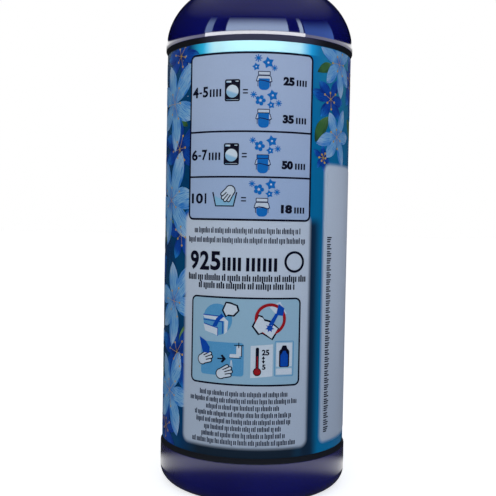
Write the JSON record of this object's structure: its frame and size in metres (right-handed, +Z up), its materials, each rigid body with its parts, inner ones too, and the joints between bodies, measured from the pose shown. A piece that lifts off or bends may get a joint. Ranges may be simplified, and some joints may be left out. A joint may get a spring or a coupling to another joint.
{
  "type": "fabric softener bottle",
  "caption": "Round blue bottle with a wrapped printed label in a recessed panel, a drain-back pour spout and a domed screw-on measuring cap with a flared collar.",
  "frame": {"origin": "centre of the ring that the bottle stands on", "axes": "+Z up along the bottle's axis; the printed dose table faces -Y and +X is to its right"},
  "size_m": [0.0812, 0.0812, 0.2784],
  "materials": {
    "bottle_blue": "gloss",
    "label_film": "gloss",
    "spout_white": "satin",
    "seal_foam": "matte",
    "cap_blue": "gloss",
    "ink_blue": "gloss",
    "ink_mark_blue": "gloss",
    "ink_mark_sky": "gloss",
    "ink_sky": "gloss",
    "ink_white": "gloss",
    "ink_pale": "gloss",
    "ink_table": "gloss",
    "ink_navy": "gloss",
    "ink_grey": "gloss",
    "ink_red": "gloss",
    "ink_yellow": "gloss",
    "ink_green": "gloss"
  },
  "bodies": {
    "container": {"bottle": "bottle_blue", "label": "label_film", "pour_spout": "spout_white", "blue_blossoms": "ink_blue", "white_blossoms": "ink_white", "blossom_centres": "ink_yellow", "leaves": "ink_green", "text_panel": "ink_pale", "side_panel": "ink_pale", "dose_table": "ink_table", "picture_box": "ink_sky", "frame_lines": "ink_navy", "machine_marks": "ink_navy", "machine_windows": "ink_white", "basin_mark": "ink_navy", "basin_water": "ink_sky", "equal_marks": "ink_navy", "cup_outlines": "ink_navy", "cup_fills": "ink_mark_blue", "dose_blossoms": "ink_mark_blue", "dose_numbers": "ink_navy", "load_numbers": "ink_navy", "volume_number": "ink_navy", "volume_ring": "ink_navy", "bold_lines": "ink_navy", "small_lines": "ink_grey", "side_marks": "ink_grey", "picture_fields": "ink_mark_sky", "picture_cards": "ink_white", "picture_blue": "ink_blue", "picture_dark": "ink_navy", "picture_red": "ink_red"},
    "seal": {"cap_seal": "seal_foam"},
    "cap": {"measuring_cap": "cap_blue"}
  },
  "joints": [
    {"name": "cap_lift", "type": "slide", "parent": "container", "child": "seal", "axis": [0, 0, 1], "range_m": [0, 0.0421]},
    {"name": "cap_turn", "type": "hinge", "parent": "seal", "child": "cap", "pos_m": [0, 0, 0.22939], "axis": [0, 0, 1], "range_deg": [0, 1260]}
  ],
  "couplings": [
    {"joint": "cap_lift", "follows": "cap_turn", "m_per_rad": 0.0019099}
  ]
}
